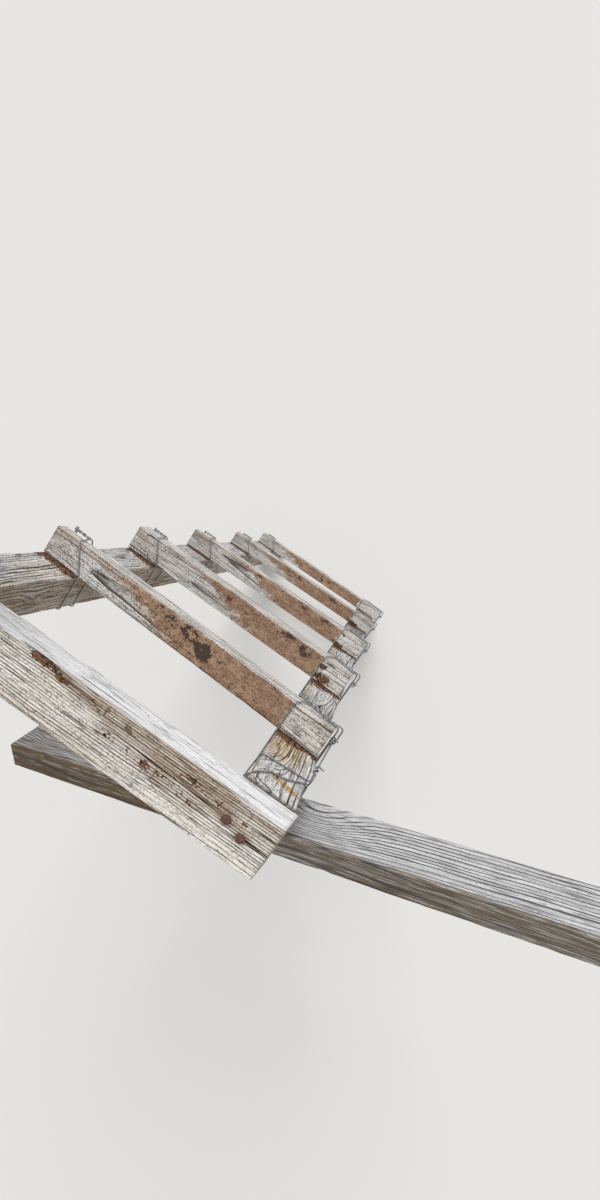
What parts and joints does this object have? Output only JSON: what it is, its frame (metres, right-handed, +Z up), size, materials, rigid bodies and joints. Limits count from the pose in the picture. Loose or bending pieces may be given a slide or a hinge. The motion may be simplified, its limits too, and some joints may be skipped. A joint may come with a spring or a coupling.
{
  "type": "wooden stile",
  "caption": "Steep timber ladder for climbing over a rock step, its square treads wired to two stringers, a plank nailed over the heads and a long bearer behind.",
  "frame": {"origin": "centre of the level-cut sole of the right stringer, where it stands on the ground", "axes": "+Z up, +X to the right along the treads as seen by someone at the top about to climb down, +Y forward and away from the rock, the way the ladder descends"},
  "size_m": [1.0331, 1.2249, 1.9572],
  "materials": {
    "stringer_wood": "weathered sawn softwood, silver grey with brown stains",
    "tread_wood": "weathered sawn softwood, grey, muddy brown where it is trodden",
    "top_wood": "newer sawn softwood, pale tan with bold straight grain and splits",
    "bearer_wood": "weathered sawn softwood, silver grey, fine grain",
    "wire": "galvanised wire, dulled",
    "nail": "rusted flat-headed nails"
  },
  "bodies": {
    "root": {"bearer": "bearer_wood", "bearer_lashing": "wire", "fifth_left_lashing": "wire", "fifth_right_lashing": "wire", "fifth_tread": "tread_wood", "fourth_left_lashing": "wire", "fourth_right_lashing": "wire", "fourth_tread": "tread_wood", "inner_nail_left": "nail", "inner_nail_right": "nail", "left_stringer": "stringer_wood", "lowest_left_lashing": "wire", "lowest_right_lashing": "wire", "lowest_tread": "tread_wood", "outer_nail_left": "nail", "outer_nail_right": "nail", "right_stringer": "stringer_wood", "second_left_lashing": "wire", "second_right_lashing": "wire", "second_tread": "tread_wood", "third_left_lashing": "wire", "third_right_lashing": "wire", "third_tread": "tread_wood", "top_tread": "top_wood"}
  },
  "joints": []
}
